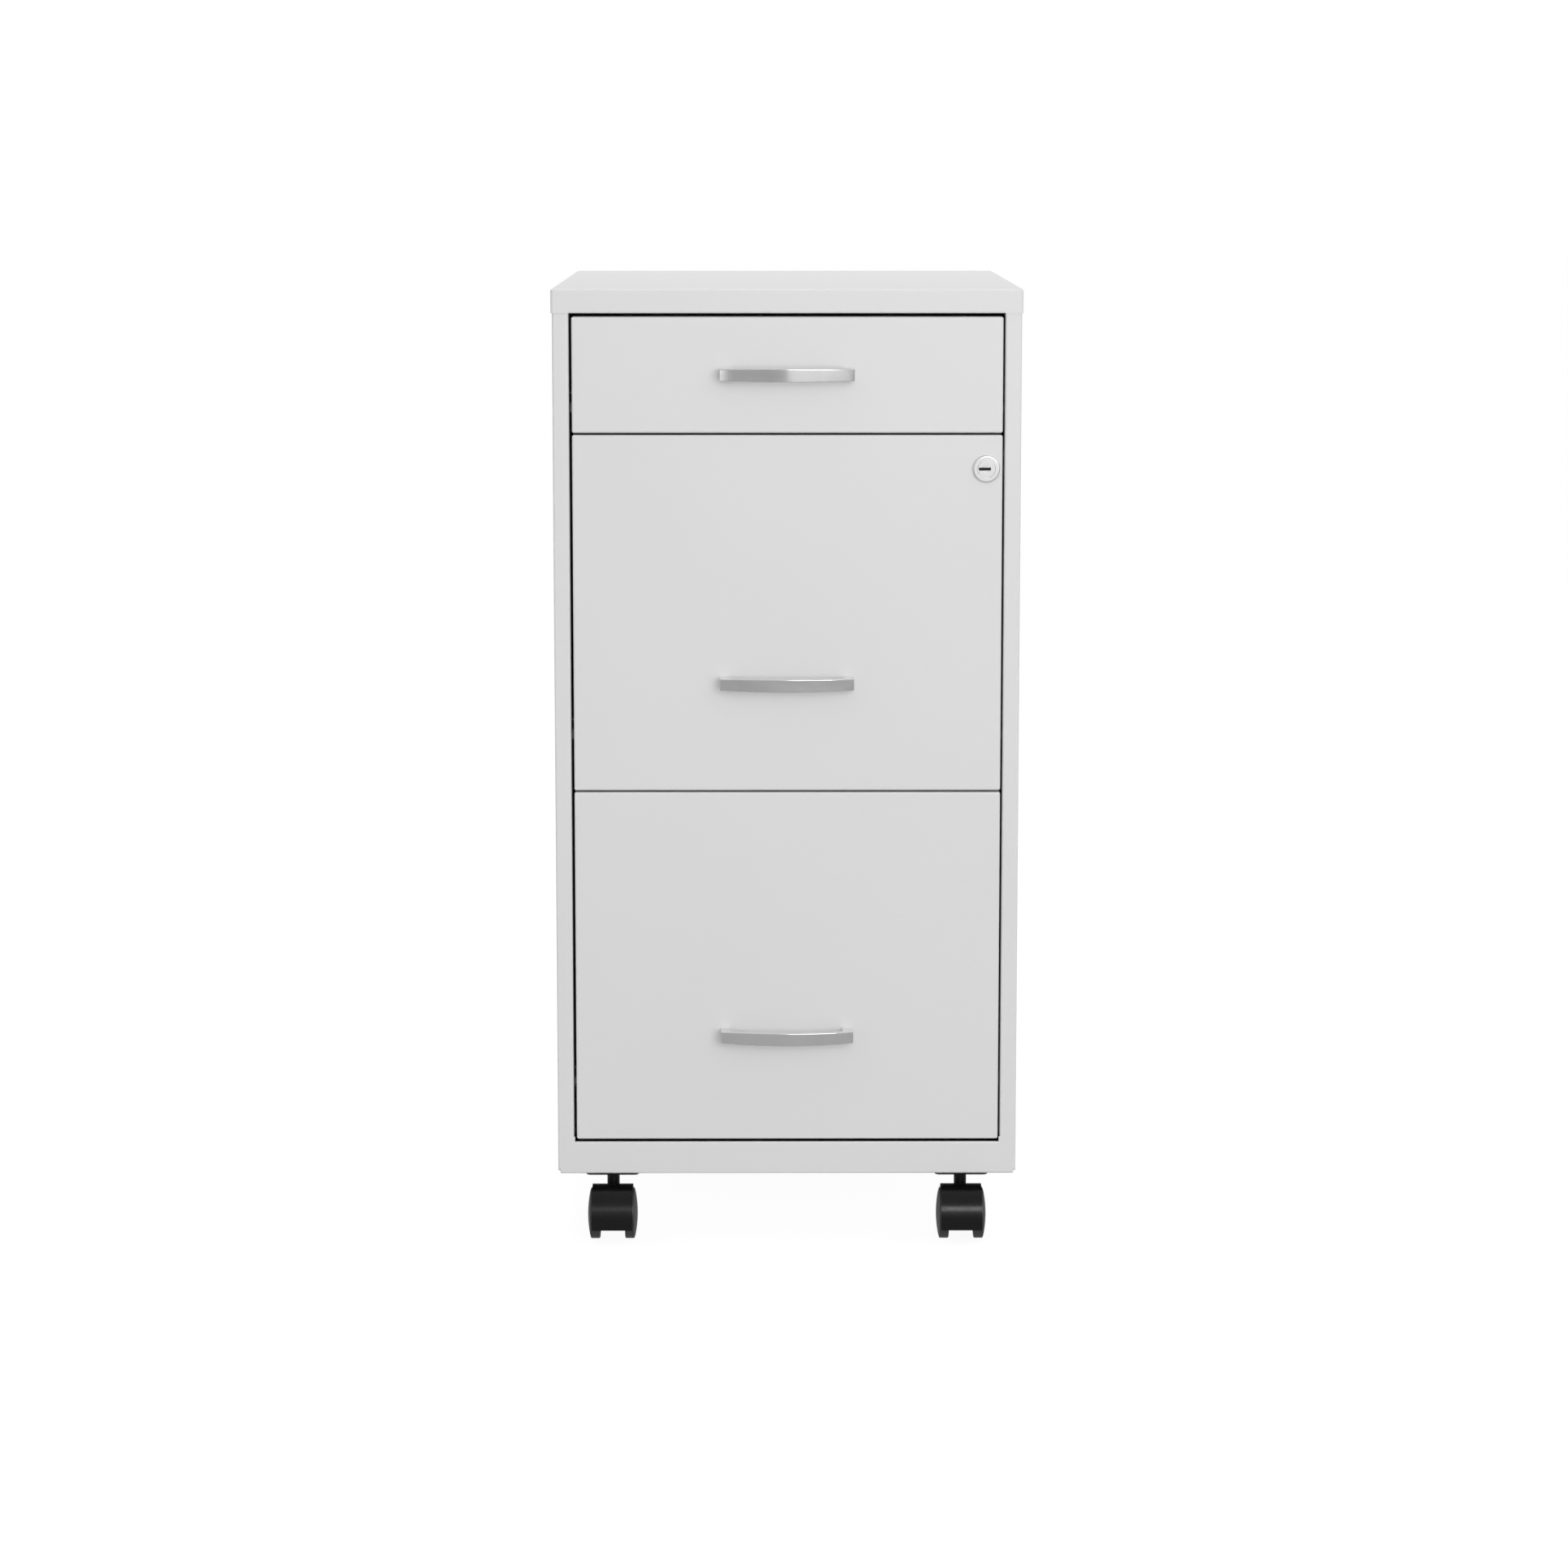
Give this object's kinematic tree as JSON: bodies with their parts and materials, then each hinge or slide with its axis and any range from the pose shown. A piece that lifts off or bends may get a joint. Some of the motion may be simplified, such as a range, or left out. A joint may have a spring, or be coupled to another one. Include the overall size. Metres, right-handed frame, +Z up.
{
  "type": "metal filing cabinet",
  "caption": "Upright steel filing cabinet on swivel casters: a shallow box drawer over deep file drawers, arched bar handles and a cam lock.",
  "frame": {"origin": "on the floor, under the middle of the overall box, handles included", "axes": "+Z up, the drawers open towards -Y, and +X is to the right seen from the front"},
  "size_m": [0.362, 0.4814, 0.747],
  "materials": {
    "case_paint": "white powder coat, satin, very fine orange peel",
    "drawer_paint": "white powder coat, satin, inside the drawers",
    "handle_metal": "satin nickel plate",
    "lock_chrome": "bright nickel plate",
    "zinc_steel": "zinc plated steel",
    "nylon": "natural nylon",
    "caster_steel": "black enamel",
    "caster_plastic": "moulded black plastic, semi-matte"
  },
  "bodies": {
    "cabinet": {"top_cap": "case_paint", "left_side_panel": "case_paint", "right_side_panel": "case_paint", "back_panel": "case_paint", "bottom_front_rail": "case_paint", "base_pan": "case_paint", "rear_caster_bar": "case_paint", "top_left_case_rail": "zinc_steel", "top_left_front_glide": "nylon", "top_right_case_rail": "zinc_steel", "top_right_front_glide": "nylon", "middle_left_case_rail": "zinc_steel", "middle_left_front_glide": "nylon", "middle_right_case_rail": "zinc_steel", "middle_right_front_glide": "nylon", "bottom_left_case_rail": "zinc_steel", "bottom_left_front_glide": "nylon", "bottom_right_case_rail": "zinc_steel", "bottom_right_front_glide": "nylon", "front_left_caster_plate": "caster_steel", "front_right_caster_plate": "caster_steel", "rear_left_caster_plate": "caster_steel", "rear_right_caster_plate": "caster_steel"},
    "top_drawer": {"top_drawer_front": "case_paint", "top_drawer_box": "drawer_paint", "top_drawer_handle": "handle_metal", "top_left_rear_shoe": "nylon", "top_right_rear_shoe": "nylon"},
    "middle_drawer": {"middle_drawer_front": "case_paint", "middle_drawer_box": "drawer_paint", "middle_drawer_handle": "handle_metal", "middle_left_rear_shoe": "nylon", "middle_right_rear_shoe": "nylon", "lock_housing": "lock_chrome", "lock_nut": "zinc_steel"},
    "bottom_drawer": {"bottom_drawer_front": "case_paint", "bottom_drawer_box": "drawer_paint", "bottom_drawer_handle": "handle_metal", "bottom_left_rear_shoe": "nylon", "bottom_right_rear_shoe": "nylon"},
    "lock_barrel": {"lock_plug": "lock_chrome", "lock_cam": "zinc_steel"},
    "front_left_caster": {"front_left_caster_hood": "caster_plastic", "front_left_caster_axle": "zinc_steel"},
    "front_left_left_wheel": {"front_left_caster_left_wheel": "caster_plastic"},
    "front_left_right_wheel": {"front_left_caster_right_wheel": "caster_plastic"},
    "front_right_caster": {"front_right_caster_hood": "caster_plastic", "front_right_caster_axle": "zinc_steel"},
    "front_right_left_wheel": {"front_right_caster_left_wheel": "caster_plastic"},
    "front_right_right_wheel": {"front_right_caster_right_wheel": "caster_plastic"},
    "rear_left_caster": {"rear_left_caster_hood": "caster_plastic", "rear_left_caster_axle": "zinc_steel"},
    "rear_left_left_wheel": {"rear_left_caster_left_wheel": "caster_plastic"},
    "rear_left_right_wheel": {"rear_left_caster_right_wheel": "caster_plastic"},
    "rear_right_caster": {"rear_right_caster_hood": "caster_plastic", "rear_right_caster_axle": "zinc_steel"},
    "rear_right_left_wheel": {"rear_right_caster_left_wheel": "caster_plastic"},
    "rear_right_right_wheel": {"rear_right_caster_right_wheel": "caster_plastic"}
  },
  "joints": [
    {"name": "top_drawer_slide", "type": "slide", "parent": "cabinet", "child": "top_drawer", "axis": [0, -1, 0], "range_m": [0, 0.3]},
    {"name": "middle_drawer_slide", "type": "slide", "parent": "cabinet", "child": "middle_drawer", "axis": [0, -1, 0], "range_m": [0, 0.3]},
    {"name": "bottom_drawer_slide", "type": "slide", "parent": "cabinet", "child": "bottom_drawer", "axis": [0, -1, 0], "range_m": [0, 0.3]},
    {"name": "lock_turn", "type": "hinge", "parent": "middle_drawer", "child": "lock_barrel", "pos_m": [0.1534, -0.21585, 0.6093], "axis": [0, 1, 0], "range_deg": [0, 90]},
    {"name": "front_left_caster_swivel", "type": "hinge", "parent": "cabinet", "child": "front_left_caster", "pos_m": [-0.1375, -0.19225, 0.043], "axis": [0, 0, 1], "continuous": true},
    {"name": "front_left_left_wheel_spin", "type": "hinge", "parent": "front_left_caster", "child": "front_left_left_wheel", "pos_m": [-0.1515, -0.20825, 0.02], "axis": [1, 0, 0], "continuous": true},
    {"name": "front_left_right_wheel_spin", "type": "hinge", "parent": "front_left_caster", "child": "front_left_right_wheel", "pos_m": [-0.1235, -0.20825, 0.02], "axis": [1, 0, 0], "continuous": true},
    {"name": "front_right_caster_swivel", "type": "hinge", "parent": "cabinet", "child": "front_right_caster", "pos_m": [0.1375, -0.19225, 0.043], "axis": [0, 0, 1], "continuous": true},
    {"name": "front_right_left_wheel_spin", "type": "hinge", "parent": "front_right_caster", "child": "front_right_left_wheel", "pos_m": [0.1235, -0.20825, 0.02], "axis": [1, 0, 0], "continuous": true},
    {"name": "front_right_right_wheel_spin", "type": "hinge", "parent": "front_right_caster", "child": "front_right_right_wheel", "pos_m": [0.1515, -0.20825, 0.02], "axis": [1, 0, 0], "continuous": true},
    {"name": "rear_left_caster_swivel", "type": "hinge", "parent": "cabinet", "child": "rear_left_caster", "pos_m": [-0.1375, 0.21675, 0.043], "axis": [0, 0, 1], "continuous": true},
    {"name": "rear_left_left_wheel_spin", "type": "hinge", "parent": "rear_left_caster", "child": "rear_left_left_wheel", "pos_m": [-0.1515, 0.20075, 0.02], "axis": [1, 0, 0], "continuous": true},
    {"name": "rear_left_right_wheel_spin", "type": "hinge", "parent": "rear_left_caster", "child": "rear_left_right_wheel", "pos_m": [-0.1235, 0.20075, 0.02], "axis": [1, 0, 0], "continuous": true},
    {"name": "rear_right_caster_swivel", "type": "hinge", "parent": "cabinet", "child": "rear_right_caster", "pos_m": [0.1375, 0.21675, 0.043], "axis": [0, 0, 1], "continuous": true},
    {"name": "rear_right_left_wheel_spin", "type": "hinge", "parent": "rear_right_caster", "child": "rear_right_left_wheel", "pos_m": [0.1235, 0.20075, 0.02], "axis": [1, 0, 0], "continuous": true},
    {"name": "rear_right_right_wheel_spin", "type": "hinge", "parent": "rear_right_caster", "child": "rear_right_right_wheel", "pos_m": [0.1515, 0.20075, 0.02], "axis": [1, 0, 0], "continuous": true}
  ]
}
